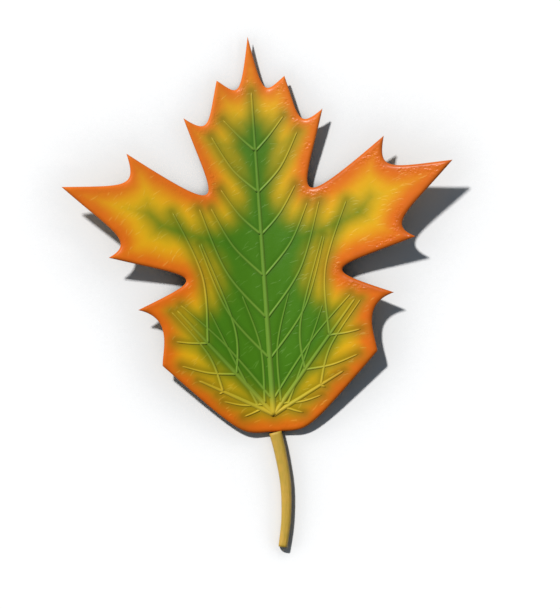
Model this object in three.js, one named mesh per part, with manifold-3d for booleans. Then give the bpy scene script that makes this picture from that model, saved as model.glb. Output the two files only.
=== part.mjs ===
// A fallen maple leaf in autumn colours, lying face up: the blade with its raised vein net, and the leaf stalk.
// Millimetres. +Z is up and +Y runs up the midrib to the tip of the leaf. The origin is on the ground, under the
// point where the main ribs meet.
import * as THREE from 'three';
import Module from 'manifold-3d';

// Lamina
const THICKNESS = 1.4; // away from the margin
const CLEARANCE = 0.9; // from the ground to the underside beside the midrib
const RIM_RADIUS = 1.4; // how far in from the margin the full thickness is reached
const RIM_RINGS = [0.35, 1.4]; // how far in from the margin the rounded rim has its points
const MARGIN_STEP = 2.1; // between the points along the margin
const FIELD_STEP = 6.5; // between the points inside
const FIELD_INSET = 4; // the points inside stay this far from the margin

// Curl: flat beside the midrib, then both flanks rise like a shallow valley, and the tip lifts a little
const FLAT_HALF_WIDTH = 3;
const BEND_RADIUS = 2;
const FLANK_SLOPE = 0.17;
const FLANK_SLOPE_PER_MM = 0.00015; // the valley is a little steeper towards the tip
const TIP_LIFT = 1.5;
const TIP_LIFT_START = 60;
const TIP_LIFT_POWER = 1.3;

// Margin, right half, from the tip down to the base: each point of a lobe or tooth, with the two handles of the
// curve that runs on from it to the next point
const MARGIN = [
  { point: [0, 107.2], handles: [[3.4, 89.0], [3.6, 90.9]] },
  { point: [9.6, 95.4], handles: [[12.9, 83.4], [12.2, 79.8]] },
  { point: [19.7, 85.4], handles: [[13.0, 62.2], [6.5, 54.2]] },
  { point: [36.4, 76.5], handles: [[33.9, 66.4], [36.8, 67.4]] },
  { point: [55.2, 68.3], handles: [[41.7, 54.6], [35.2, 51.4]] },
  { point: [43.4, 47.5], handles: [[17.8, 39.5], [15.1, 40.9]] },
  { point: [36.2, 32.2], handles: [[26.1, 29.4], [30.3, 20.2]] },
  { point: [30.4, 16.0], handles: [[7.7, -7.1], [9.7, -4.8]] },
  { point: [0, -4.8] },
];

// Main ribs: the midrib and two pairs of side ribs, all from the hub, with their half widths at the hub and the end
const HUB = [0, 0];
const MIDRIB = { path: [HUB, [0, 91.5]], hubHalfWidth: 0.75, endHalfWidth: 0.25 };
const UPPER_RIB = { path: [HUB, [25.2, 31.3]], hubHalfWidth: 0.6, endHalfWidth: 0.25 };
const LOWER_RIB = { path: [HUB, [20.6, 11.1]], hubHalfWidth: 0.6, endHalfWidth: 0.25 };
const RIB_HEIGHT_RATIO = 0.9; // how far a rib stands up, against its half width
const RIB_STEP = 8;

// Underside: the main ribs stand out downwards too, with flat feet that the leaf lies on
const FOOT_DEPTH = 1.3;
const FOOT_WIDTH_RATIO = 1.3; // against the rib's half width on the upper side
const FOOT_FADE = 6; // a high power keeps a rib deep until near its end
const MIDRIB_FOOT = { ...MIDRIB, path: [[0, -4.1], [0, 91.5]] }; // it runs back past the hub to meet the petiole

// Fine veins, right half: where each leaves its rib, a point it bows through, and its end
const MIDRIB_VEINS = [
  [[0.3, 4.6], [12.5, 20.8], [24.1, 32.7]],
  [[0.3, 16.1], [11.0, 30.0], [17.8, 49.5]],
  [[0.3, 27.6], [10.4, 40.8], [17.0, 59.5]],
  [[0.2, 39.4], [8.1, 48.2], [13.7, 59.4]],
  [[0.2, 51.2], [5.7, 56.8], [10.6, 64.5]],
  [[0.2, 63.2], [6.8, 69.8], [12.2, 79.5]],
  [[0.2, 74.9], [4.2, 78.9], [8.6, 84.1]],
];
const UPPER_RIB_VEINS = [
  [[2.3, 3.3], [2.4, 19.3], [6.6, 34.2]],
  [[9.7, 12.1], [9.4, 25.6], [17.2, 49.8]],
  [[17.2, 21.4], [17.4, 40.2], [24.6, 59.0]],
  [[2.5, 3.1], [8.4, 3.2], [13.9, 4.7]],
  [[9.7, 12.1], [17.4, 13.0], [25.0, 15.5]],
  [[17.2, 21.4], [21.6, 21.7], [26.2, 22.5]],
];
const LOWER_RIB_VEINS = [
  [[4.0, 2.2], [11.0, 18.2], [16.0, 30.3]],
  [[13.8, 7.4], [17.3, 18.2], [26.8, 31.0]],
  [[3.5, 1.8], [6.0, 0.8], [8.5, 0.0]],
  [[13.8, 7.4], [14.5, 7.1], [15.2, 6.8]],
];
const VEIN_HALF_WIDTH = 0.28;
const VEIN_HEIGHT = 0.32;
const VEIN_SPREAD = 1.7; // the buried foot of a vein is this much wider than the vein at the surface
const VEIN_STEP = 5;
const SINK = 0.25; // how deep ribs and veins are rooted in the lamina

// Petiole: from the margin, bowed to the right, to its square cut end, lying on the ground
const PETIOLE_PATH = [[0.1, -5.5], [1.1, -11.0], [1.95, -20.0], [1.4, -29.5], [-0.1, -37.5]];
const PETIOLE_HEAD_RADIUS = 1.8;
const PETIOLE_END_RADIUS = 1.2;
const PETIOLE_SIDES = 10;
const PETIOLE_STEP = 2.8;

const AUTUMN_ORANGE = new THREE.Color('#c98a2a');
const STALK_TAN = new THREE.Color('#b39446');

const wasm = await Module();
wasm.setup();

// A solid from points and triangles that already share their points
function solid(points, triangles) {
  return new wasm.Manifold(new wasm.Mesh({
    numProp: 3,
    vertProperties: new Float32Array(points.flat()),
    triVerts: new Uint32Array(triangles.flat()),
  }));
}

function geometryOf(points, triangles) {
  const geometry = new THREE.BufferGeometry();
  geometry.setAttribute('position', new THREE.Float32BufferAttribute(points.flat(), 3));
  geometry.setIndex(triangles.flat());
  geometry.computeVertexNormals();
  return geometry;
}

function geometryOfSolid(body) {
  const { vertProperties, triVerts } = body.getMesh();
  const geometry = new THREE.BufferGeometry();
  geometry.setAttribute('position', new THREE.Float32BufferAttribute(Array.from(vertProperties), 3));
  geometry.setIndex(Array.from(triVerts));
  geometry.computeVertexNormals();
  return geometry;
}

const mirrored = ([x, y]) => [-x, y];

const middle = (a, b) => [(a[0] + b[0]) / 2, (a[1] + b[1]) / 2];

// How far the lamina has risen from its lowest level at a point
function curl(x, y) {
  const outside = Math.max(Math.abs(x) - FLAT_HALF_WIDTH, 0);
  const flank = Math.hypot(outside, BEND_RADIUS) - BEND_RADIUS;
  const towardsTip = Math.max(y - TIP_LIFT_START, 0) / (MARGIN[0].point[1] - TIP_LIFT_START);
  return (FLANK_SLOPE + FLANK_SLOPE_PER_MM * y) * flank + TIP_LIFT * towardsTip ** TIP_LIFT_POWER;
}

const middleHeight = (x, y) => CLEARANCE + THICKNESS / 2 + curl(x, y);

// Points along one smooth curve in the plane, its two ends included
function pointsAlong(curve, step) {
  const count = Math.ceil(curve.getLength() / step);
  return curve.getSpacedPoints(count).map(({ x, y }) => [x, y]);
}

// The whole margin, counterclockwise from the base
function marginPolygon() {
  const right = [];
  for (let i = 0; i < MARGIN.length - 1; i += 1) {
    const { point, handles } = MARGIN[i];
    const corners = [point, ...handles, MARGIN[i + 1].point].map(([x, y]) => new THREE.Vector2(x, y));
    right.push(...pointsAlong(new THREE.CubicBezierCurve(...corners), MARGIN_STEP).slice(0, -1));
  }
  const left = right.slice(1).map(mirrored);
  const base = MARGIN[MARGIN.length - 1].point;
  return [base, ...right.reverse(), ...left];
}

function marginDistance([x, y], margin) {
  let nearest = Infinity;
  margin.forEach(([ax, ay], i) => {
    const [bx, by] = margin[(i + 1) % margin.length];
    const along = ((x - ax) * (bx - ax) + (y - ay) * (by - ay)) / ((bx - ax) ** 2 + (by - ay) ** 2);
    const t = Math.min(Math.max(along, 0), 1);
    nearest = Math.min(nearest, Math.hypot(x - ax - t * (bx - ax), y - ay - t * (by - ay)));
  });
  return nearest;
}

function isInside([x, y], margin) {
  let inside = false;
  margin.forEach(([ax, ay], i) => {
    const [bx, by] = margin[(i + 1) % margin.length];
    if ((ay > y) !== (by > y) && x < ax + ((y - ay) / (by - ay)) * (bx - ax)) inside = !inside;
  });
  return inside;
}

const isClear = (point, others, gap) => others.every(([x, y]) => Math.hypot(point[0] - x, point[1] - y) > gap);

// Points on lines that follow the margin at each depth of the rounded rim
function rimPoints(margin) {
  const points = [];
  RIM_RINGS.forEach((depth, ring) => {
    margin.forEach((a, i) => {
      const b = margin[(i + 1) % margin.length];
      const length = Math.hypot(b[0] - a[0], b[1] - a[1]);
      const inward = [-(b[1] - a[1]) / length, (b[0] - a[0]) / length];
      const [x, y] = ring % 2 ? a : middle(a, b);
      const point = [x + inward[0] * depth, y + inward[1] * depth];
      const fits = isInside(point, margin) && marginDistance(point, margin) > 0.85 * depth;
      if (fits && isClear(point, points, 0.7 * depth)) points.push(point);
    });
  });
  return points;
}

// Points in staggered rows over the middle of the blade
function fieldPoints(margin) {
  const points = [];
  const rowStep = FIELD_STEP * Math.sqrt(0.75);
  const half = MARGIN.reduce((widest, { point }) => Math.max(widest, point[0]), 0);
  for (let row = 0; row * rowStep < MARGIN[0].point[1]; row += 1) {
    const shift = row % 2 ? FIELD_STEP / 2 : 0;
    for (let x = -Math.ceil(half / FIELD_STEP) * FIELD_STEP + shift; x < half; x += FIELD_STEP) {
      const point = [x, row * rowStep];
      if (isInside(point, margin) && marginDistance(point, margin) > FIELD_INSET) points.push(point);
    }
  }
  return points;
}

// Delaunay triangles of points in the plane, which are put one by one into a triangle that holds them all
function triangulate(points) {
  const far = 2000;
  const all = [...points, [-far, -far], [far, -far], [0, far]];
  const withCircle = (a, b, c) => {
    const [[ax, ay], [bx, by], [cx, cy]] = [all[a], all[b], all[c]];
    const twice = 2 * (ax * (by - cy) + bx * (cy - ay) + cx * (ay - by));
    const [aa, bb, cc] = [ax * ax + ay * ay, bx * bx + by * by, cx * cx + cy * cy];
    const x = (aa * (by - cy) + bb * (cy - ay) + cc * (ay - by)) / twice;
    const y = (aa * (cx - bx) + bb * (ax - cx) + cc * (bx - ax)) / twice;
    return { corners: [a, b, c], x, y, radius: Math.hypot(ax - x, ay - y) };
  };
  let triangles = [withCircle(points.length, points.length + 1, points.length + 2)];
  points.forEach(([x, y], index) => {
    const edges = new Map();
    const kept = triangles.filter((triangle) => {
      if (Math.hypot(x - triangle.x, y - triangle.y) >= triangle.radius) return true;
      triangle.corners.forEach((a, k) => {
        const b = triangle.corners[(k + 1) % 3];
        if (!edges.delete(`${b},${a}`)) edges.set(`${a},${b}`, [a, b]);
      });
      return false;
    });
    edges.forEach(([a, b]) => kept.push(withCircle(a, b, index)));
    triangles = kept;
  });
  return triangles.map(({ corners }) => corners).filter((corners) => corners.every((c) => c < points.length));
}

// Splits the blade into triangles. A margin edge that is missing gets a point on it, and so does an inner edge that
// joins two margin points, because the lamina has no thickness at the margin.
function bladeMesh() {
  let margin = marginPolygon();
  let inner = [...rimPoints(margin), ...fieldPoints(margin)];
  for (;;) {
    const points = [...margin, ...inner];
    const count = margin.length;
    const triangles = triangulate(points).filter((corners) => {
      const [a, b, c] = corners.map((i) => points[i]);
      return isInside([(a[0] + b[0] + c[0]) / 3, (a[1] + b[1] + c[1]) / 3], margin);
    });
    const edges = new Set(triangles.flatMap(([a, b, c]) => [`${a},${b}`, `${b},${c}`, `${c},${a}`]));
    const chords = [...edges].map((edge) => edge.split(',').map(Number))
      .filter(([a, b]) => a < b && b < count && b - a > 1 && b - a < count - 1);
    const missing = margin.map((_, i) => !edges.has(`${i},${(i + 1) % count}`));
    if (!chords.length && !missing.includes(true)) return { points, triangles, count };
    const longer = margin.flatMap((a, i) => (missing[i] ? [a, middle(a, margin[(i + 1) % count])] : [a]));
    inner = [...inner, ...chords.map(([a, b]) => middle(points[a], points[b]))];
    margin = longer;
  }
}

// The lamina: its two faces are split alike and meet at the margin, and its rim is rounded
function makeLamina() {
  const { points, triangles, count } = bladeMesh();
  const margin = points.slice(0, count);
  const halfThickness = (point) => {
    const short = 1 - Math.min(marginDistance(point, margin) / RIM_RADIUS, 1);
    return (THICKNESS / 2) * Math.sqrt(1 - short * short);
  };
  const under = points.length - count;
  const upper = points.map(([x, y], i) => [x, y, middleHeight(x, y) + (i < count ? 0 : halfThickness([x, y]))]);
  const lower = points.slice(count).map(([x, y]) => [x, y, middleHeight(x, y) - halfThickness([x, y])]);
  const below = (i) => (i < count ? i : i + under);
  const faces = triangles.flatMap(([a, b, c]) => [[a, b, c], [below(a), below(c), below(b)]]);
  return solid([...upper, ...lower], faces);
}

// A closed body through sections that have the same number of points, counterclockwise as seen from its start
function sweep(sections) {
  const sides = sections[0].length;
  const last = (sections.length - 1) * sides;
  const faces = [];
  for (let k = 0; k < sides; k += 1) {
    const next = (k + 1) % sides;
    for (let start = 0; start < last; start += sides) {
      faces.push([start + k, start + sides + k, start + sides + next]);
      faces.push([start + k, start + sides + next, start + next]);
    }
    if (k > 0 && k < sides - 1) faces.push([0, k, k + 1], [last, last + k + 1, last + k]);
  }
  return { points: sections.flat(), faces };
}

// Sections square to a path in the plane. sectionAt gives the points of one as offsets to the right, with their
// heights, for the share of the path that lies behind it and its place.
function sectionsAlong(path, sectionAt) {
  return path.map(([x, y], i) => {
    const before = path[Math.max(i - 1, 0)];
    const after = path[Math.min(i + 1, path.length - 1)];
    const length = Math.hypot(after[0] - before[0], after[1] - before[1]);
    const right = [(after[1] - before[1]) / length, -(after[0] - before[0]) / length];
    return sectionAt(i / (path.length - 1), x, y)
      .map(([offset, z]) => [x + right[0] * offset, y + right[1] * offset, z]);
  });
}

const smoothPath = (points, step) => pointsAlong(
  new THREE.SplineCurve(points.map(([x, y]) => new THREE.Vector2(x, y))),
  step,
);

// The rounded upper side of a main rib
function makeRib({ path, hubHalfWidth, endHalfWidth }) {
  const { points, faces } = sweep(sectionsAlong(smoothPath(path, RIB_STEP), (share, x, y) => {
    const half = THREE.MathUtils.lerp(hubHalfWidth, endHalfWidth, share);
    const surface = middleHeight(x, y) + THICKNESS / 2;
    const top = surface + RIB_HEIGHT_RATIO * half;
    const shoulder = surface + 0.6 * RIB_HEIGHT_RATIO * half;
    return [[-half, surface - SINK], [half, surface - SINK], [0.8 * half, shoulder], [0, top], [-0.8 * half, shoulder]];
  }));
  return solid(points, faces);
}

// The underside of a main rib, with its flat foot where it reaches the ground
function makeFoot({ path, hubHalfWidth, endHalfWidth }) {
  const { points, faces } = sweep(sectionsAlong(smoothPath(path, RIB_STEP), (share, x, y) => {
    const half = FOOT_WIDTH_RATIO * THREE.MathUtils.lerp(hubHalfWidth, endHalfWidth, share);
    const root = middleHeight(x, y);
    const depth = FOOT_DEPTH * (1 - share ** FOOT_FADE);
    const foot = Math.max(root - THICKNESS / 2 - depth, 0);
    return [[-0.7 * half, foot], [0.7 * half, foot], [half, root], [-half, root]];
  }));
  return solid(points, faces);
}

// A fine vein, a slim ridge with a buried foot
function makeVein(path) {
  const { points, faces } = sweep(sectionsAlong(smoothPath(path, VEIN_STEP), (_, x, y) => {
    const surface = middleHeight(x, y) + THICKNESS / 2;
    const half = VEIN_SPREAD * VEIN_HALF_WIDTH;
    return [[-half, surface - SINK], [half, surface - SINK], [0, surface + VEIN_HEIGHT]];
  }));
  return solid(points, faces);
}

const onLeft = ({ path, ...rest }) => ({ path: path.map(mirrored), ...rest });

function makeBlade() {
  const sideRibs = [UPPER_RIB, LOWER_RIB];
  const ribs = [MIDRIB, ...sideRibs, ...sideRibs.map(onLeft)];
  const veins = [...MIDRIB_VEINS, ...UPPER_RIB_VEINS, ...LOWER_RIB_VEINS];
  const leftVeins = veins.map((path) => path.map(mirrored));
  const pieces = [
    ...ribs.map(makeRib),
    ...[MIDRIB_FOOT, ...ribs.slice(1)].map(makeFoot),
    ...[...veins, ...leftVeins].map(makeVein),
  ];
  const blade = pieces.reduce((body, piece) => body.add(piece), makeLamina());
  const material = new THREE.MeshStandardMaterial({ color: AUTUMN_ORANGE, roughness: 0.55, metalness: 0 });
  const mesh = new THREE.Mesh(geometryOfSolid(blade), material);
  mesh.name = 'blade';
  return mesh;
}

function makePetiole() {
  const { points, faces } = sweep(sectionsAlong(smoothPath(PETIOLE_PATH, PETIOLE_STEP), (share) => {
    const radius = THREE.MathUtils.lerp(PETIOLE_HEAD_RADIUS, PETIOLE_END_RADIUS, share);
    const flat = Math.cos(Math.PI / PETIOLE_SIDES);
    return Array.from({ length: PETIOLE_SIDES }, (_, k) => {
      const angle = ((2 * k + 1) / PETIOLE_SIDES - 0.5) * Math.PI;
      return [radius * Math.cos(angle), radius * (flat + Math.sin(angle))];
    });
  }));
  const material = new THREE.MeshStandardMaterial({ color: STALK_TAN, roughness: 0.6, metalness: 0 });
  const mesh = new THREE.Mesh(geometryOf(points, faces), material);
  mesh.name = 'petiole';
  return mesh;
}

const leaf = new THREE.Group();
leaf.add(makeBlade(), makePetiole());

export default leaf;
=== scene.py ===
"""A fallen maple leaf in autumn colours: its fine blade, its veins and its stalk, lying on a pale floor.

Shapes are worked out in millimetres in the leaf's own frame, +Y up the midrib, and turned into metres at the
end.
"""

import math

import bpy
import numpy as np
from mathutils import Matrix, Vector
from mathutils.geometry import delaunay_2d_cdt
from mathutils.kdtree import KDTree


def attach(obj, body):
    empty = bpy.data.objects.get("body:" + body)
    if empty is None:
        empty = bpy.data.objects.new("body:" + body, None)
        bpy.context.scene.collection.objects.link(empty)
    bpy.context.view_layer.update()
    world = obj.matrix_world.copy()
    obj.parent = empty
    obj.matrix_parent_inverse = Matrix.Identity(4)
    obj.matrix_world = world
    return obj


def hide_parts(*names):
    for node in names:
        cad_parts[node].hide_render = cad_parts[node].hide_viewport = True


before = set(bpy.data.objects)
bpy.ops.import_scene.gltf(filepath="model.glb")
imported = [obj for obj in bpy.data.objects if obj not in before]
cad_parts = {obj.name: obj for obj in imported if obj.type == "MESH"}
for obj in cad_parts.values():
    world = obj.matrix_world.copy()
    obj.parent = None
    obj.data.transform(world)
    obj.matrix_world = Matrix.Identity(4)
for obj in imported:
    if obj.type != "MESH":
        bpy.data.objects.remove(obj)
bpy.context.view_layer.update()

MM = 0.001

# Points on one piece of a curve, before they are moved to even distances
CURVE_POINTS = 200
SPLINE_POINTS = 40

# Lamina, as in the solid part
THICKNESS = 1.4
CLEARANCE = 0.9
FLAT_HALF_WIDTH = 3
BEND_RADIUS = 2
FLANK_SLOPE = 0.17
FLANK_SLOPE_PER_MM = 0.00015
TIP_LIFT = 1.5
TIP_LIFT_START = 60
TIP_LIFT_POWER = 1.3

# Margin, right half, from the tip to the base: each point with the handles of the curve to the next
MARGIN = [
    ((0, 107.2), (3.4, 89.0), (3.6, 90.9)),
    ((9.6, 95.4), (12.9, 83.4), (12.2, 79.8)),
    ((19.7, 85.4), (13.0, 62.2), (6.5, 54.2)),
    ((36.4, 76.5), (33.9, 66.4), (36.8, 67.4)),
    ((55.2, 68.3), (41.7, 54.6), (35.2, 51.4)),
    ((43.4, 47.5), (17.8, 39.5), (15.1, 40.9)),
    ((36.2, 32.2), (26.1, 29.4), (30.3, 20.2)),
    ((30.4, 16.0), (7.7, -7.1), (9.7, -4.8)),
]
BASE = (0, -4.8)

# Fineness of the blade's mesh
MARGIN_STEP = 0.6
FIELD_STEP = 0.72
RIM_DEPTHS = (0.05, 0.18, 0.4, 0.75, 1.2, 1.75)
RIM_CLEARANCE = 0.9  # a rim point stays this share of its depth from the margin
FIELD_CLEARANCE = 0.4  # share of a step between the rim's points and the rows inside
SAME_POINT = 1e-7

# The rim is thin and crisp along the lobes' straight sides, and puffy in the notches between the teeth
STRAIGHT_RIM_RADIUS = 0.9
NOTCH_RIM_RADIUS = 1.9
NOTCH_BEND = 0.22  # radians per millimetre that count as a full notch
NOTCH_BLUR = 1.5  # millimetres along the margin
NOTCH_BLUR_REACH = 3  # times the blur

# Unevenness of the skin, and the shallow grooves along the veins
RIPPLE_HEIGHT = 0.035
RIPPLE_FADE = 0.5  # millimetres from the margin where the ripples have their full height
UNDER_RIPPLES = 0.5  # share of the ripples on the lower face
WRINKLE_HEIGHT = 0.05
STRAIGHT_WRINKLES = 0.25  # share of the wrinkles where the rim is straight
WRINKLE_BAND = (0.5, 1.4, 3.2)  # from the margin: none, full, none
GROOVE_DEPTH = 0.1
GROOVE_WIDTH = 0.85
GROOVE_FADE = 2  # millimetres from the margin where the grooves have their full depth

# Main ribs from the hub: end, and half widths at the hub and the end
MAIN_RIBS = [
    ((0, 91.5), 0.74, 0.22),
    ((25.2, 31.3), 0.6, 0.24),
    ((20.6, 11.1), 0.58, 0.26),
]
FINE_VEINS = [
    ((0.3, 4.6), (12.5, 20.8), (24.1, 32.7)),
    ((0.3, 16.1), (11.0, 30.0), (17.8, 49.5)),
    ((0.3, 27.6), (10.4, 40.8), (17.0, 59.5)),
    ((0.2, 39.4), (8.1, 48.2), (13.7, 59.4)),
    ((0.2, 51.2), (5.7, 56.8), (10.6, 64.5)),
    ((0.2, 63.2), (6.8, 69.8), (12.2, 79.5)),
    ((0.2, 74.9), (4.2, 78.9), (8.6, 84.1)),
    ((2.3, 3.3), (2.4, 19.3), (6.6, 34.2)),
    ((9.7, 12.1), (9.4, 25.6), (17.2, 49.8)),
    ((17.2, 21.4), (17.4, 40.2), (24.6, 59.0)),
    ((2.5, 3.1), (8.4, 3.2), (13.9, 4.7)),
    ((9.7, 12.1), (17.4, 13.0), (25.0, 15.5)),
    ((17.2, 21.4), (21.6, 21.7), (26.2, 22.5)),
    ((4.0, 2.2), (11.0, 18.2), (16.0, 30.3)),
    ((13.8, 7.4), (17.3, 18.2), (26.8, 31.0)),
    ((3.5, 1.8), (6.0, 0.8), (8.5, 0.0)),
    ((13.8, 7.4), (14.5, 7.1), (15.2, 6.8)),
]
FINE_HALF_WIDTHS = (0.29, 0.18)  # at the root and at the end
FINE_HEIGHT_RATIO = 0.8
RIB_HEIGHT_RATIO = 0.72
VEIN_STEP = 0.9
VEIN_END_LENGTH = 1.2  # of the rounded end, against the half width there
VEIN_END_SIZE = 0.0025  # of its last section, squared
FOOT_DEPTH = 1.3
FOOT_WIDTH_RATIO = 1.1  # against the rib's half width on the upper side
FOOT_FADE = 6

# A vein's root and its end are coloured like the blade this far from a vein, and deeper in from the margin
VEIN_COLOUR_DISTANCES = (2.0, 1.2)
VEIN_COLOUR_DEPTH = 0.8

# Points along the veins that distances are measured to, and how many of them at once
VEIN_SPOT_STEP = 0.4
VEIN_SPOTS_AT_ONCE = 200

# A vein across: share of its half width and of its height, from one buried foot to the other
VEIN_SECTION = [
    (-1.7, -0.75), (-1.3, -0.22), (-1.08, 0.12), (-0.85, 0.45), (-0.48, 0.85), (0, 1),
    (0.48, 0.85), (0.85, 0.45), (1.08, 0.12), (1.3, -0.22), (1.7, -0.75),
]

# Fine pale creases in the skin: each is a low, short ridge, and its pale tint is partly a painted highlight
# along it
CREASE_COUNT = 450
CREASE_SEED = 11
CREASE_LENGTHS = (1.6, 4.4)
CREASE_HALF_WIDTHS = (0.17, 0.28)
CREASE_HEIGHT = 0.014
CREASE_RIM_GAP = 0.8
CREASE_VEIN_GAP = 0.7
CREASE_TRIES = 6  # places drawn for each crease
CREASE_TINTS = (0.05, 0.2)
CREASE_ANGLES = (54, 10)  # degrees above the picture's horizontal, at the left and at the right lobe's tip
CREASE_SPREAD = 12
CREASE_BOW = 0.25  # at most, against half the length
CREASE_SECTIONS = 7
CREASE_END_SIZE = 0.02  # of the end sections, squared
CREASE_END_SINK = 3  # how deep the ends are buried, in heights

# A crease across: share of its half width, of its height and of its tint, from one buried foot to the other
CREASE_SECTION = [
    (-1.3, -3.0, 0), (-1, -0.4, 0), (-0.5, 0.6, 0.6), (0, 1, 1),
    (0.5, 0.6, 0.6), (1, -0.4, 0), (1.3, -3.0, 0),
]

# Stalk
STALK_PATH = [(0.05, -4.95), (1.1, -11.0), (1.95, -20.0), (1.4, -29.5), (-0.1, -37.5)]
STALK_HEAD_RADIUS = 1.78
STALK_END_RADIUS = 1.25
STALK_SQUARENESS = 2.8  # 2 would be a round stalk
STALK_SIDES = 28
STALK_STEP = 0.7
STALK_RIBS = 9
STALK_RIB_HEIGHT = 0.012  # against the radius
STALK_BEVELS = (0.06, 0.08)  # how much smaller its two end faces are


def curl(x, y):
    """How far the lamina has risen from its lowest level."""
    outside = np.maximum(np.abs(x) - FLAT_HALF_WIDTH, 0)
    flank = np.hypot(outside, BEND_RADIUS) - BEND_RADIUS
    towards_tip = np.maximum(y - TIP_LIFT_START, 0) / (MARGIN[0][0][1] - TIP_LIFT_START)
    return (FLANK_SLOPE + FLANK_SLOPE_PER_MM * y) * flank + TIP_LIFT * towards_tip**TIP_LIFT_POWER


def middle_height(x, y):
    return CLEARANCE + THICKNESS / 2 + curl(x, y)


def evenly(points, step):
    """The polyline's points moved to even distances of about one step."""
    points = np.asarray(points, float)
    along = np.concatenate([[0], np.cumsum(np.linalg.norm(np.diff(points, axis=0), axis=1))])
    wanted = np.linspace(0, along[-1], max(int(math.ceil(along[-1] / step)), 1) + 1)
    return np.stack([np.interp(wanted, along, points[:, k]) for k in range(points.shape[1])], axis=1)


def bezier(a, b, c, d, count=CURVE_POINTS):
    t = np.linspace(0, 1, count)[:, None]
    a, b, c, d = (np.asarray(p, float) for p in (a, b, c, d))
    return (1 - t) ** 3 * a + 3 * t * (1 - t) ** 2 * b + 3 * t**2 * (1 - t) * c + t**3 * d


def smooth_path(points, step):
    """A smooth curve through the points, the same as a Catmull-Rom spline."""
    points = np.asarray(points, float)
    if len(points) == 2:
        return evenly(points, step)
    padded = np.vstack([2 * points[0] - points[1], points, 2 * points[-1] - points[-2]])
    padded[0], padded[-1] = points[0], points[-1]
    pieces = []
    for i in range(len(points) - 1):
        before, a, b, after = padded[i : i + 4]
        pieces.append(bezier(a, a + (b - before) / 6, b - (after - a) / 6, b, SPLINE_POINTS)[:-1])
    return evenly(np.vstack(pieces + [points[-1:]]), step)


def mirrored(points):
    return np.asarray(points, float) * (-1, 1)


def margin_polygon():
    """The whole margin, counterclockwise from the base."""
    right = []
    for i, (point, first, second) in enumerate(MARGIN):
        after = MARGIN[i + 1][0] if i + 1 < len(MARGIN) else BASE
        right.append(evenly(bezier(point, first, second, after), MARGIN_STEP)[:-1])
    right = np.vstack(right)
    return np.vstack([[BASE], right[::-1], mirrored(right[1:])])


def margin_distance(points, margin):
    """Distance in the plane from each point to the margin."""
    start, end = margin, np.roll(margin, -1, axis=0)
    run = end - start
    squared = (run**2).sum(axis=1)
    nearest = np.full(len(points), np.inf)
    for a, r, s in zip(start, run, squared):
        t = np.clip(((points - a) @ r) / s, 0, 1)
        gap = points - a - t[:, None] * r
        nearest = np.minimum(nearest, np.hypot(gap[:, 0], gap[:, 1]))
    return nearest


def margin_bend(margin):
    """How sharply the margin bends inwards at each of its points: 0 if straight or bulging, 1 in a notch."""
    before, after = margin - np.roll(margin, 1, axis=0), np.roll(margin, -1, axis=0) - margin
    cross = before[:, 0] * after[:, 1] - before[:, 1] * after[:, 0]
    turn = np.arctan2(cross, (before * after).sum(axis=1))
    length = (np.linalg.norm(before, axis=1) + np.linalg.norm(after, axis=1)) / 2
    bend = np.clip(-turn / length / NOTCH_BEND, 0, 1)
    reach = int(NOTCH_BLUR_REACH * NOTCH_BLUR / MARGIN_STEP)
    offsets = np.arange(-reach, reach + 1)
    weights = np.exp(-0.5 * (offsets * MARGIN_STEP / NOTCH_BLUR) ** 2)
    blurred = sum(w * np.roll(bend, k) for k, w in zip(offsets, weights)) / weights.sum()
    return blurred / blurred.max()


def nearest_bend(points, margin):
    """The margin's bend at its stretch nearest to each point."""
    tree = KDTree(len(margin))
    for i, (x, y) in enumerate(margin):
        tree.insert((x, y, 0), i)
    tree.balance()
    nearest = [tree.find((x, y, 0))[1] for x, y in points]
    return margin_bend(margin)[nearest]


def inside(points, margin):
    result = np.zeros(len(points), bool)
    for (ax, ay), (bx, by) in zip(margin, np.roll(margin, -1, axis=0)):
        if ay == by:
            continue
        crosses = (ay > points[:, 1]) != (by > points[:, 1])
        result ^= crosses & (points[:, 0] < ax + (points[:, 1] - ay) / (by - ay) * (bx - ax))
    return result


def rib_paths():
    """Every rib and vein of both halves: path, half widths at its two ends, and whether it is a main rib."""
    veins = []
    for end, hub_half, end_half in MAIN_RIBS:
        path = smooth_path([(0, 0), end], VEIN_STEP)
        veins.append((path, hub_half, end_half, True))
        if end[0]:
            veins.append((mirrored(path), hub_half, end_half, True))
    for points in FINE_VEINS:
        path = smooth_path(points, VEIN_STEP)
        for side in (path, mirrored(path)):
            veins.append((side, *FINE_HALF_WIDTHS, False))
    return veins


def nearest_vein(points, veins):
    """Distance in the plane from each point to the nearest vein."""
    spots = np.vstack([evenly(path, VEIN_SPOT_STEP) for path, *_ in veins])
    nearest = np.full(len(points), np.inf)
    for part in np.array_split(spots, max(len(spots) // VEIN_SPOTS_AT_ONCE, 1)):
        gap = np.linalg.norm(points[:, None, :] - part[None, :, :], axis=2)
        nearest = np.minimum(nearest, gap.min(axis=1))
    return nearest


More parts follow.
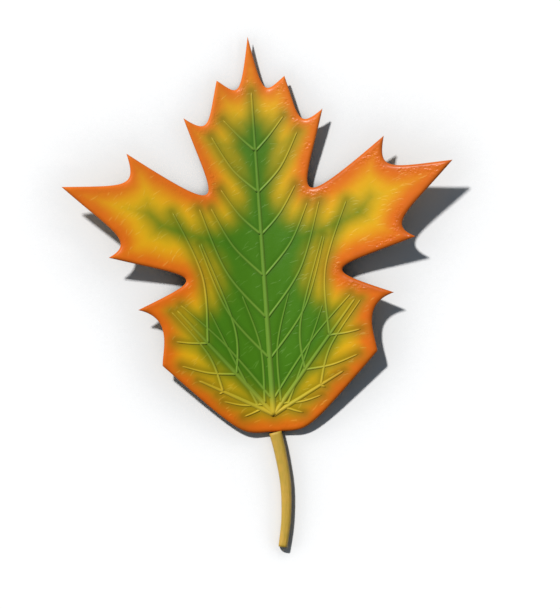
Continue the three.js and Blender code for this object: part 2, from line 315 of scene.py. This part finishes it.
def field_points(margin):
    """Points on lines along the margin, close together over the rounded rim, and in staggered rows inside."""
    points = []
    following = np.roll(margin, -1, axis=0)
    run = following - margin
    inward = np.stack([-run[:, 1], run[:, 0]], axis=1) / np.linalg.norm(run, axis=1)[:, None]
    for ring, depth in enumerate(RIM_DEPTHS):
        start = (margin + following) / 2 if ring % 2 == 0 else margin
        ring_points = start + inward * depth
        ring_points = ring_points[inside(ring_points, margin)]
        points.append(ring_points[margin_distance(ring_points, margin) > RIM_CLEARANCE * depth])
    half = max(point[0] for point, *_ in MARGIN)
    row_step = FIELD_STEP * math.sqrt(0.75)
    rows = []
    for row, y in enumerate(np.arange(BASE[1], MARGIN[0][0][1], row_step)):
        x = np.arange(-half, half, FIELD_STEP) + (FIELD_STEP / 2 if row % 2 else 0)
        rows.append(np.stack([x, np.full(len(x), y)], axis=1))
    rows = np.vstack(rows)
    rows = rows[inside(rows, margin)]
    points.append(rows[margin_distance(rows, margin) > RIM_DEPTHS[-1] + FIELD_CLEARANCE * FIELD_STEP])
    return np.vstack(points)


def blade_triangles(margin, inner):
    """Triangles over the blade. An edge that joins two margin points across it gets a point at its middle."""
    while True:
        count = len(margin)
        points = np.vstack([margin, inner])
        border = [(i, (i + 1) % count) for i in range(count)]
        found = delaunay_2d_cdt([Vector(p) for p in points], border, [], 1, SAME_POINT)
        coordinates = np.array([tuple(p) for p in found[0]])
        triangles = np.array(found[2])
        origin = [ids[0] if ids else -1 for ids in found[3]]
        on_margin = np.array([0 <= i < count for i in origin])
        order = {i: k for k, i in enumerate(origin) if 0 <= i < count}
        neighbours = {frozenset((order[i], order[(i + 1) % count])) for i in range(count)}
        chords = set()
        for face in triangles:
            for a, b in zip(face, np.roll(face, -1)):
                if on_margin[a] and on_margin[b] and frozenset((a, b)) not in neighbours:
                    chords.add(frozenset((int(a), int(b))))
        if not chords:
            return coordinates, triangles, on_margin
        ends = np.array(sorted(map(sorted, chords)))
        inner = np.vstack([inner, coordinates[ends].mean(axis=1)])


def make_piece(name, points, faces, attributes, material, replaced):
    """A smooth mesh from points in millimetres, with its attributes, riding on the leaf's one body."""
    mesh = bpy.data.meshes.new(name)
    mesh.from_pydata((np.asarray(points) * MM).tolist(), [], [tuple(int(i) for i in face) for face in faces])
    for key, values in attributes.items():
        mesh.attributes.new(key, "FLOAT", "POINT").data.foreach_set("value", np.asarray(values, np.float32))
    mesh.polygons.foreach_set("use_smooth", [True] * len(mesh.polygons))
    mesh.materials.append(material)
    mesh.validate()
    mesh.update()
    piece = bpy.data.objects.new(name, mesh)
    bpy.context.scene.collection.objects.link(piece)
    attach(piece, "root")
    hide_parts(replaced)


def ripple(x, y):
    """A gentle unevenness of the skin, between about -1 and 1, made of crossing waves."""
    wave = np.sin(0.9 * x + 1.3 * np.sin(0.35 * y)) + np.sin(0.8 * y + 1.7 * np.sin(0.3 * x + 1.0))
    fine = np.sin(2.3 * x + 1.9 * y + 2 * np.sin(0.7 * y)) + np.sin(2.6 * y - 1.7 * x + 2 * np.sin(0.9 * x))
    return 0.3 * wave + 0.2 * fine


def wrinkle(x, y):
    """Small folds near the rim, between about -1 and 1."""
    rising = np.sin(2.1 * x + 1.1 * y + 1.4 * np.sin(1.3 * y))
    falling = np.sin(1.9 * y - 1.4 * x + 1.6 * np.sin(1.2 * x))
    return 0.5 * (rising + falling)


def relief(x, y, depth, vein, bend):
    """The upper skin's own ups and downs, on top of the lamina's even face."""
    none, full, gone = WRINKLE_BAND
    band = np.clip((depth - none) / (full - none), 0, 1) * np.clip((gone - depth) / (gone - full), 0, 1)
    band *= STRAIGHT_WRINKLES + (1 - STRAIGHT_WRINKLES) * bend
    groove = GROOVE_DEPTH * np.exp(-((vein / GROOVE_WIDTH) ** 2)) * np.clip(depth / GROOVE_FADE, 0, 1)
    ripples = RIPPLE_HEIGHT * ripple(x, y) * np.minimum(depth / RIPPLE_FADE, 1)
    return ripples + WRINKLE_HEIGHT * band * wrinkle(x, y) - groove


def half_thickness(depth, bend):
    radius = STRAIGHT_RIM_RADIUS + (NOTCH_RIM_RADIUS - STRAIGHT_RIM_RADIUS) * bend
    short = 1 - np.minimum(depth / radius, 1)
    return THICKNESS / 2 * np.sqrt(1 - short**2)


def make_blade(material):
    margin = margin_polygon()
    points, triangles, on_margin = blade_triangles(margin, field_points(margin))
    x, y = points.T
    depth = np.where(on_margin, 0, margin_distance(points, margin))
    vein = nearest_vein(points, rib_paths())
    bend = nearest_bend(points, margin)
    half = half_thickness(depth, bend)
    middle = middle_height(x, y)
    inner = ~on_margin
    below = np.where(on_margin, np.arange(len(points)), len(points) + np.cumsum(inner) - 1)
    upper_points = np.stack([x, y, middle + half + relief(x, y, depth, vein, bend)], axis=1)
    lower_skin = UNDER_RIPPLES * RIPPLE_HEIGHT * ripple(x, y) * np.minimum(depth / RIPPLE_FADE, 1)
    lower_points = np.stack([x, y, middle - half + lower_skin], axis=1)[inner]
    faces = np.vstack([triangles, below[triangles][:, ::-1]])
    attributes = {
        "margin": np.concatenate([depth, depth[inner]]),
        "vein": np.concatenate([vein, vein[inner]]),
        "upper": np.concatenate([np.where(on_margin, 0.5, 1.0), np.zeros(int(inner.sum()))]),
    }
    points = np.vstack([upper_points, lower_points])
    make_piece("leaf_blade", points, faces, attributes, material, "blade")


def sweep(sections):
    """Closed body through sections that have the same number of points."""
    sections = np.asarray(sections)
    count, sides = sections.shape[:2]
    faces = []
    for i in range(count - 1):
        for k in range(sides):
            a, b = i * sides + k, i * sides + (k + 1) % sides
            faces.append((a, a + sides, b + sides, b))
    faces.append(tuple(range(sides)))
    faces.append(tuple(reversed(range((count - 1) * sides, count * sides))))
    return sections.reshape(-1, 3), faces


def rights(path):
    """The direction to the right of the path at each of its points."""
    ahead = np.gradient(path, axis=0)
    ahead /= np.linalg.norm(ahead, axis=1)[:, None]
    return np.stack([ahead[:, 1], -ahead[:, 0]], axis=1)


def vein_body(path, hub_half, end_half, is_rib, up):
    """One vein on the upper (up = 1) or lower (up = -1) face, with rounded ends."""
    share = np.linspace(0, 1, len(path))
    along = share * np.linalg.norm(np.diff(path, axis=0), axis=1).sum()
    half = hub_half + (end_half - hub_half) * share
    height = (RIB_HEIGHT_RATIO if is_rib else FINE_HEIGHT_RATIO) * half
    surface = middle_height(*path.T) + up * THICKNESS / 2
    if is_rib and up < 0:
        height = np.minimum(FOOT_DEPTH * (1 - share**FOOT_FADE), surface)
        half = FOOT_WIDTH_RATIO * half
    left = (along[-1] - along) / (VEIN_END_LENGTH * half)
    rounded = np.sqrt(np.clip(1 - (1 - np.minimum(left, 1)) ** 2, VEIN_END_SIZE, 1))
    side = rights(path)
    sections = []
    for (x, y), z, w, h, r, (rx, ry) in zip(path, surface, half, height, rounded, side):
        section = [(x + rx * a * w * r, y + ry * a * w * r, z + up * b * h * r) for a, b in VEIN_SECTION]
        sections.append(section if up > 0 else section[::-1])
    return sweep(sections)


def make_veins(name, up, material):
    points, faces, shares = [], [], []
    for vein in rib_paths():
        body_points, body_faces = vein_body(*vein, up)
        faces += [tuple(i + len(points) for i in face) for face in body_faces]
        points += body_points.tolist()
        shares += np.repeat(np.linspace(0, 1, len(vein[0])), len(VEIN_SECTION)).tolist()
    points = np.array(points)
    points[:, 2] = np.maximum(points[:, 2], 0)
    depth = margin_distance(points[:, :2], margin_polygon()) + VEIN_COLOUR_DEPTH
    attributes = {
        "margin": depth,
        "vein": np.interp(shares, (0, 1), VEIN_COLOUR_DISTANCES),
        "upper": np.full(len(points), 1.0 if up > 0 else 0.0),
        "tint": np.interp(shares, (0, 1), VEIN_PALE_SHARES),
    }
    make_piece(name, points, faces, attributes, material, "blade")


def crease_starts(margin, veins):
    """Seeded places on the blade, clear of rim and veins, the room from each to the rim, and the draw."""
    draw = np.random.default_rng(CREASE_SEED)
    low, high = margin.min(axis=0), margin.max(axis=0)
    spots = draw.uniform(low, high, (CREASE_TRIES * CREASE_COUNT, 2))
    spots = spots[inside(spots, margin)]
    room = margin_distance(spots, margin) - CREASE_RIM_GAP
    clear = (room > CREASE_LENGTHS[0] / 2) & (nearest_vein(spots, veins) > CREASE_VEIN_GAP)
    return spots[clear][:CREASE_COUNT], room[clear][:CREASE_COUNT], draw


def make_creases(material):
    margin, veins = margin_polygon(), rib_paths()
    half_span = margin[:, 0].max()
    spots, rooms, draw = crease_starts(margin, veins)
    flat, rise, tints, faces = [], [], [], []
    one_crease = sweep(np.zeros((CREASE_SECTIONS, len(CREASE_SECTION), 3)))[1]
    for (x, y), room in zip(spots, rooms):
        length, half = min(draw.uniform(*CREASE_LENGTHS), 2 * room), draw.uniform(*CREASE_HALF_WIDTHS)
        tint, bow = draw.uniform(*CREASE_TINTS), draw.uniform(-CREASE_BOW, CREASE_BOW)
        slant = np.interp(x, (-half_span, half_span), CREASE_ANGLES) + draw.normal(0, CREASE_SPREAD)
        dx, dy = pixel_direction(math.cos(math.radians(slant)), -math.sin(math.radians(slant)))
        ahead, right = np.array([dx, dy]), np.array([dy, -dx])
        faces += [tuple(len(flat) + i for i in face) for face in one_crease]
        for t in np.linspace(-1, 1, CREASE_SECTIONS):
            middle = np.array([x, y]) + length / 2 * (t * ahead + bow * (1 - t * t) * right)
            taper = math.sqrt(max(1 - t * t, CREASE_END_SIZE))
            for across, up, share in CREASE_SECTION:
                flat.append(middle + across * half * taper * right)
                rise.append(CREASE_HEIGHT * (up - CREASE_END_SINK * (1 - taper)))
                # the crease's tint is partly a painted highlight along the ridge
                tints.append(tint * share * taper)
    flat = np.array(flat)
    x, y = flat.T
    depth, vein = margin_distance(flat, margin), nearest_vein(flat, veins)
    bend = nearest_bend(flat, margin)
    lamina = middle_height(x, y) + half_thickness(depth, bend) + relief(x, y, depth, vein, bend)
    points = np.stack([x, y, lamina + np.array(rise)], axis=1)
    attributes = {"margin": depth, "vein": vein, "upper": np.ones(len(points)), "tint": np.array(tints)}
    make_piece("skin_creases", points, faces, attributes, material, "blade")


def make_stalk(material):
    path = smooth_path(STALK_PATH, STALK_STEP)
    share = np.linspace(0, 1, len(path))
    radius = STALK_HEAD_RADIUS + (STALK_END_RADIUS - STALK_HEAD_RADIUS) * share
    side = rights(path)
    angles = np.linspace(0, 2 * math.pi, STALK_SIDES, endpoint=False)
    p = STALK_SQUARENESS
    squarish = (np.abs(np.cos(angles)) ** p + np.abs(np.sin(angles)) ** p) ** (-1 / p)
    squarish /= squarish[0]
    sections = []
    for (x, y), r, (rx, ry) in zip(path, radius, side):
        ribbed = r * (1 + STALK_RIB_HEIGHT * np.cos(STALK_RIBS * angles)) * squarish
        across, up = ribbed * np.cos(angles), np.maximum(r + ribbed * np.sin(angles), 0)
        sections.append(np.stack([x + rx * across, y + ry * across, up], axis=1))
    head, end = (
        section + (section.mean(axis=0) - section) * bevel
        for section, bevel in zip((sections[0], sections[-1]), STALK_BEVELS)
    )
    points, faces = sweep([head, *sections, end])
    make_piece("leaf_stalk", points, faces, {}, material, "petiole")


def linear(*srgb):
    """A colour given as 0 to 255 on screen, as light."""
    return tuple((c / 255 / 12.92) if c <= 10 else ((c / 255 + 0.055) / 1.055) ** 2.4 for c in srgb) + (1,)


class Shader:
    """Builds one material's nodes. Inputs are numbers, colours or other nodes' outputs."""

    def __init__(self, name):
        self.material = bpy.data.materials.new(name)
        self.material.use_nodes = True
        self.tree = self.material.node_tree
        self.surface = self.tree.nodes["Principled BSDF"]

    def add(self, kind, inputs=None, output=0, **settings):
        node = self.tree.nodes.new(kind)
        for key, value in settings.items():
            setattr(node, key, value)
        for key, value in (inputs or {}).items():
            self.put(node.inputs[key], value)
        return node.outputs[output]

    def put(self, socket, value):
        if isinstance(value, bpy.types.NodeSocket):
            self.tree.links.new(value, socket)
        else:
            socket.default_value = value

    def attribute(self, name):
        return self.add("ShaderNodeAttribute", output="Fac", attribute_name=name)

    def math(self, operation, a, b=0.0, clamp=False):
        return self.add("ShaderNodeMath", {0: a, 1: b}, operation=operation, use_clamp=clamp)

    def smooth(self, value, low, high, to_low=0.0, to_high=1.0):
        """A soft step from to_low at low to to_high at high."""
        inputs = {"Value": value, "From Min": low, "From Max": high, "To Min": to_low, "To Max": to_high}
        return self.add("ShaderNodeMapRange", inputs, interpolation_type="SMOOTHSTEP")

    def mix(self, share, a, b):
        node = self.tree.nodes.new("ShaderNodeMix")
        node.data_type = "RGBA"
        for key, value in ((0, share), (6, a), (7, b)):
            self.put(node.inputs[key], value)
        return node.outputs[2]

    def ramp(self, value, stops):
        node = self.tree.nodes.new("ShaderNodeValToRGB")
        self.put(node.inputs[0], value)
        marks = node.color_ramp.elements
        while len(marks) < len(stops):
            marks.new(1.0)
        for mark, (place, colour) in zip(marks, stops):
            mark.position = place
            mark.color = colour
        return node.outputs[0]

    def noise(self, vector, scale, detail=2.0, roughness=0.5):
        inputs = {"Vector": vector, "Scale": scale, "Detail": detail, "Roughness": roughness}
        return self.add("ShaderNodeTexNoise", inputs)

    def bump(self, height, distance, normal=None):
        inputs = {"Height": height, "Distance": distance, "Strength": 1.0}
        if normal is not None:
            inputs["Normal"] = normal
        return self.add("ShaderNodeBump", inputs)

    def coordinate(self, vector, axis):
        return self.add("ShaderNodeSeparateXYZ", {0: vector}, output=axis)

    def place(self):
        """The place on the leaf in millimetres."""
        spot = self.add("ShaderNodeTexCoord", output="Object")
        return self.add("ShaderNodeVectorMath", {0: spot, 3: 1 / MM}, operation="SCALE")


# Colours across the rim, by millimetres from the margin, as seen under the scene's light. The darkest stops
# at the very edge are partly the leaf's orange and partly painted shade on the rolled-over rim
RIM_COLOURS_AND_EDGE_SHADE = [
    (0.0, (192, 90, 18)), (0.9, (207, 100, 18)), (1.6, (216, 106, 18)), (2.5, (217, 113, 18)),
    (3.5, (219, 127, 18)), (4.5, (221, 142, 18)), (6.0, (222, 160, 18)), (8.0, (222, 171, 18)),
]
RAMP_REACH = 8.0
GREEN = (68, 117, 18)
PAINTED_SHEEN = (205, 190, 170)  # a faint painted sheen towards the tip
UNDERSIDE = (168, 170, 128)
UNDERSIDE_SHARE = 0.6
BLACK = (0, 0, 0, 1)

# Soft steps: a value goes from the third number to the fourth while a measure goes from the first to the
# second. The measures are millimetres: across (x), up the leaf (y), from the margin or from the nearest vein.
SHIFT_ACROSS = (-20.0, 50.0, 0.3, -0.9)  # the colours lie this many millimetres nearer to the margin, by x
SHIFT_TO_TIP = (45.0, 95.0, 0.0, 1.4)  # and by y
PAINTED_SHEEN_TO_TIP = (45.0, 95.0, 0.0, 0.022)
BASE_SHADE = (0.0, 22.0, 0.1, 0.0)
NOT_INNER_GREEN = (6.3, 16.0, 1.0, 0.0)
NOT_VEIN_GREEN = (2.0, 5.0, 0.7, 0.6)  # on a vein, by millimetres from the margin
VEIN_GREEN_REACH = 4.2
GREEN_POWER = 1.5
GROOVE_SHADE = (0.5, 1.7, 0.12, 0.0)
FOLDS_FROM_MARGIN = (0.6, 1.4, 0.0, 1.0)
FOLDS_INWARDS = (1.8, 3.4, 1.0, 0.08)
FOLDS_FROM_BASE = (5.0, 40.0, 0.35, 1.0)
FOLDS_FROM_LEFT = (-32.0, 2.0, 0.2, 1.0)
EDGE_ROUGHNESS = (0.3, 1.0, 0.65, 0.0)
EDGE_GLOSS = (0.3, 1.1, 0.45, 1.0)
GLOSS_HEIGHTS = (0.0, 60.0)  # the skin is duller at the base than from here up
BASE_GLOSS = 0.4
SPECULAR = 0.3

# Noises: scales for each millimetre, and what they do
WANDER_SCALE = 0.16
WANDER = 2.2  # millimetres by which the borders of the colours stray
FOLD_SCALE = 1.1
FOLD_DEPTH = 0.29
FOLD_PATCH_SCALE = 0.22
FOLD_PATCHES = (0.45, 0.6)
GRAIN_SCALE = 2.2
GRAIN_DEPTH = 0.012
GRAIN_RANGE = (0.3, 0.7)

# Veins and creases: pale colours in the green and elsewhere, and a vein's share of them at its two ends. The
# creases' pale colour is partly painted highlight
VEIN_PALE = ((184, 212, 96), (190, 196, 84))
VEIN_PALE_SHARES = (0.22, 0.11)
CREASE_PALE_AND_GLINT = ((140, 185, 75), (250, 218, 96))

# The smoothest and the roughest parts of each skin
BLADE_ROUGHNESS = (0.3, 0.38)
CREASE_ROUGHNESS = (0.4, 0.5)
VEIN_ROUGHNESS = (0.42, 0.52)

STALK_TANS = ((190, 152, 52), (178, 148, 46))
STALK_TAN_SCALE = 0.35
STALK_TAN_RANGE = (0.35, 0.65)
STALK_STREAK = (200, 158, 66)
STALK_STREAKS = (0.35, 0.7, 0.0, 0.5)
STALK_GRAIN_SCALES = (3.0, 0.5, 3.0)  # the grain runs along the stalk
STALK_GRAIN_DEPTH = 0.12
STALK_ROUGHNESS = 0.55


def leaf_colour(shader, place, x, y):
    """Orange at the margin, then yellow, then green inside and by the veins, with a faint painted sheen
    towards the tip, and how far it isn't green.
    """
    patch = shader.noise(place, WANDER_SCALE, 2.0)
    wander = shader.math("MULTIPLY", shader.math("SUBTRACT", patch, 0.5), WANDER)
    shift = shader.math("ADD", shader.smooth(x, *SHIFT_ACROSS), shader.smooth(y, *SHIFT_TO_TIP))
    depth = shader.math("ADD", shader.math("ADD", shader.attribute("margin"), wander), shift)
    share = shader.math("DIVIDE", depth, RAMP_REACH, clamp=True)
    rim = shader.ramp(share, [(mm / RAMP_REACH, linear(*colour)) for mm, colour in RIM_COLOURS_AND_EDGE_SHADE])
    on_vein = shader.smooth(depth, *NOT_VEIN_GREEN)
    not_by_vein = shader.smooth(shader.attribute("vein"), 0.0, VEIN_GREEN_REACH, on_vein, 1.0)
    not_green = shader.math("MULTIPLY", shader.smooth(depth, *NOT_INNER_GREEN), not_by_vein)
    not_green = shader.math("POWER", not_green, GREEN_POWER)
    colour = shader.mix(not_green, linear(*GREEN), rim)
    # painted sheen: a whitish haze mixed into the colour towards the tip
    return shader.mix(shader.smooth(y, *PAINTED_SHEEN_TO_TIP), colour, linear(*PAINTED_SHEEN)), not_green


def fold_height(shader, place, margin, x, y):
    """Folds of the skin in patches along the rim, fewer towards the base and the left."""
    outer, inner = shader.smooth(margin, *FOLDS_FROM_MARGIN), shader.smooth(margin, *FOLDS_INWARDS)
    in_rim = shader.math("MULTIPLY", outer, inner)
    patches = shader.smooth(shader.noise(place, FOLD_PATCH_SCALE, 1.0), *FOLD_PATCHES)
    folds = shader.math("SUBTRACT", shader.noise(place, FOLD_SCALE, 2.0, 0.5), 0.5)
    folds = shader.math("MULTIPLY", folds, shader.math("MULTIPLY", in_rim, patches))
    strength = shader.math("MULTIPLY", shader.smooth(y, *FOLDS_FROM_BASE), shader.smooth(x, *FOLDS_FROM_LEFT))
    return shader.math("MULTIPLY", folds, strength)


def skin_material(name, roughness, pale=None):
    """Waxy leaf skin. Veins and creases go towards their pale colour by the share in their tint attribute."""
    shader = Shader(name)
    place, margin = shader.place(), shader.attribute("margin")
    x, y = shader.coordinate(place, "X"), shader.coordinate(place, "Y")
    colour, not_green = leaf_colour(shader, place, x, y)
    # the creases' tint is partly painted highlight; the veins' tint is their own paler colour
    if pale:
        in_green, elsewhere = pale
        lighter = shader.mix(not_green, linear(*in_green), linear(*elsewhere))
        colour = shader.mix(shader.attribute("tint"), colour, lighter)
    else:
        colour = shader.mix(shader.smooth(y, *BASE_SHADE), colour, BLACK)
    colour = shader.mix(shader.smooth(shader.attribute("vein"), *GROOVE_SHADE), colour, BLACK)
    under = shader.math("SUBTRACT", 1.0, shader.attribute("upper"))
    colour = shader.mix(shader.math("MULTIPLY", under, UNDERSIDE_SHARE), colour, linear(*UNDERSIDE))
    grain = shader.noise(place, GRAIN_SCALE, 4.0, 0.6)
    normal = shader.bump(fold_height(shader, place, margin, x, y), FOLD_DEPTH * MM)
    normal = shader.bump(grain, GRAIN_DEPTH * MM, normal)
    rough = shader.smooth(grain, *GRAIN_RANGE, *roughness)
    rough = shader.math("MAXIMUM", rough, shader.smooth(margin, *EDGE_ROUGHNESS))
    gloss = shader.smooth(y, *GLOSS_HEIGHTS, BASE_GLOSS * SPECULAR, SPECULAR)
    gloss = shader.math("MULTIPLY", gloss, shader.smooth(margin, *EDGE_GLOSS))
    shader.put(shader.surface.inputs["Base Color"], colour)
    shader.put(shader.surface.inputs["Roughness"], rough)
    shader.put(shader.surface.inputs["Normal"], normal)
    shader.put(shader.surface.inputs["Specular IOR Level"], gloss)
    return shader.material


def stalk_material():
    """Matte tan with a grain along the stalk."""
    shader = Shader("stalk_skin")
    place = shader.place()
    stretched = shader.add("ShaderNodeVectorMath", {0: place, 1: STALK_GRAIN_SCALES}, operation="MULTIPLY")
    grain = shader.noise(stretched, 1.0, 4.0, 0.6)
    patch = shader.noise(place, STALK_TAN_SCALE, 2.0)
    tan = shader.mix(shader.smooth(patch, *STALK_TAN_RANGE), *(linear(*colour) for colour in STALK_TANS))
    colour = shader.mix(shader.smooth(grain, *STALK_STREAKS), tan, linear(*STALK_STREAK))
    shader.put(shader.surface.inputs["Base Color"], colour)
    shader.put(shader.surface.inputs["Normal"], shader.bump(grain, STALK_GRAIN_DEPTH * MM))
    shader.put(shader.surface.inputs["Roughness"], STALK_ROUGHNESS)
    return shader.material


# Floor, light and camera
FLOOR_SIZE = 3.0  # metres
FLOOR_DROP = 0.02
FLOOR_ROUGHNESS = 0.9
FLOOR_SPECULAR = 0.1
FLOOR_SHADE_REACH = 30  # how far the painted shade near the leaf reaches
FLOOR_SAMPLES = 16
FLOOR_PAINTED_SHADE_TONES = [  # painted shade: greyer where the leaf is near
    (0.2, (0.18, 0.185, 0.19, 1)), (0.5, (0.66, 0.665, 0.67, 1)), (0.8, (0.77, 0.77, 0.77, 1)),
    (0.9, (0.785, 0.79, 0.795, 1)), (0.97, (0.87, 0.873, 0.876, 1)), (1.0, (0.955, 0.955, 0.955, 1)),
]
SUN_SHADOW = (0.57, 0.82)  # which way the shadows fall in the picture
SUN_ELEVATION = math.radians(49)
SUN_STRENGTH = 4.1
SUN_COLOUR = (1.0, 0.985, 0.968)
SUN_ANGLE = math.radians(4.5)
SKY_STRENGTH = 0.14
SKY_COLOUR = (0.66, 0.82, 1.0, 1)

IMAGE = (560, 609)
LENGTH_PER_PIXEL = 110 / 389.7  # millimetres, from the span of the side lobes
HUB_PIXEL = (274.0, 415.0)
LEAF_TURN = math.radians(4.0)
FOCUS_LEVEL = 6.0  # height above the floor at which the picture's scale holds
LENS = 400
SENSOR = 36
CLIP = (0.05, 10)


def make_floor():
    half = FLOOR_SIZE / 2
    outline = [(-half, -half), (half, -half), (half, half), (-half, half)]
    mesh = bpy.data.meshes.new("floor")
    mesh.from_pydata([(x, y, -FLOOR_DROP * MM) for x, y in outline], [], [(0, 1, 2, 3)])
    shader = Shader("floor_white_painted_shade")
    reach = {"Distance": FLOOR_SHADE_REACH * MM}
    # the floor's colour holds painted shade, greyed by ambient occlusion near the leaf
    occlusion = shader.add("ShaderNodeAmbientOcclusion", reach, output="AO", samples=FLOOR_SAMPLES)
    shader.put(shader.surface.inputs["Base Color"], shader.ramp(occlusion, FLOOR_PAINTED_SHADE_TONES))
    shader.put(shader.surface.inputs["Roughness"], FLOOR_ROUGHNESS)
    shader.put(shader.surface.inputs["Specular IOR Level"], FLOOR_SPECULAR)
    mesh.materials.append(shader.material)
    floor = bpy.data.objects.new("floor", mesh)
    bpy.context.scene.collection.objects.link(floor)


def pixel_direction(dx, dy):
    """A direction in the picture, x to the right and y down, in the leaf's frame."""
    cos, sin = math.cos(LEAF_TURN), math.sin(LEAF_TURN)
    return cos * dx - sin * dy, -sin * dx - cos * dy


def make_lights():
    sun = bpy.data.lights.new("sun", "SUN")
    sun.energy = SUN_STRENGTH
    sun.angle = SUN_ANGLE
    sun.color = SUN_COLOUR
    lamp = bpy.data.objects.new("sun", sun)
    x, y = pixel_direction(*SUN_SHADOW)
    ray = Vector((x * math.cos(SUN_ELEVATION), y * math.cos(SUN_ELEVATION), -math.sin(SUN_ELEVATION)))
    lamp.rotation_mode = "QUATERNION"
    lamp.rotation_quaternion = ray.to_track_quat("-Z", "Y")
    bpy.context.scene.collection.objects.link(lamp)
    world = bpy.data.worlds.new("studio")
    world.use_nodes = True
    background = world.node_tree.nodes["Background"]
    background.inputs["Color"].default_value = SKY_COLOUR
    background.inputs["Strength"].default_value = SKY_STRENGTH
    bpy.context.scene.world = world


def make_camera():
    """Looks straight down, with the leaf placed and turned as in the photograph."""
    data = bpy.data.cameras.new("camera")
    data.lens = LENS
    data.sensor_width = SENSOR
    camera = bpy.data.objects.new("camera", data)
    bpy.context.scene.collection.objects.link(camera)
    x, y = pixel_direction(IMAGE[0] / 2 - HUB_PIXEL[0], IMAGE[1] / 2 - HUB_PIXEL[1])
    distance = LENS / SENSOR * max(IMAGE) * LENGTH_PER_PIXEL
    camera.location = (x * LENGTH_PER_PIXEL * MM, y * LENGTH_PER_PIXEL * MM, (distance + FOCUS_LEVEL) * MM)
    camera.rotation_euler = (0, 0, -LEAF_TURN)
    data.clip_start, data.clip_end = CLIP
    bpy.context.scene.camera = camera


vein_skin = skin_material("vein_skin", VEIN_ROUGHNESS, VEIN_PALE)
make_blade(skin_material("blade_skin", BLADE_ROUGHNESS))
make_creases(skin_material("crease_skin", CREASE_ROUGHNESS, CREASE_PALE_AND_GLINT))
make_veins("vein_net_upper", 1, vein_skin)
make_veins("vein_net_lower", -1, vein_skin)
make_stalk(stalk_material())
make_floor()
make_lights()
make_camera()
bpy.context.scene.view_settings.view_transform = "Standard"
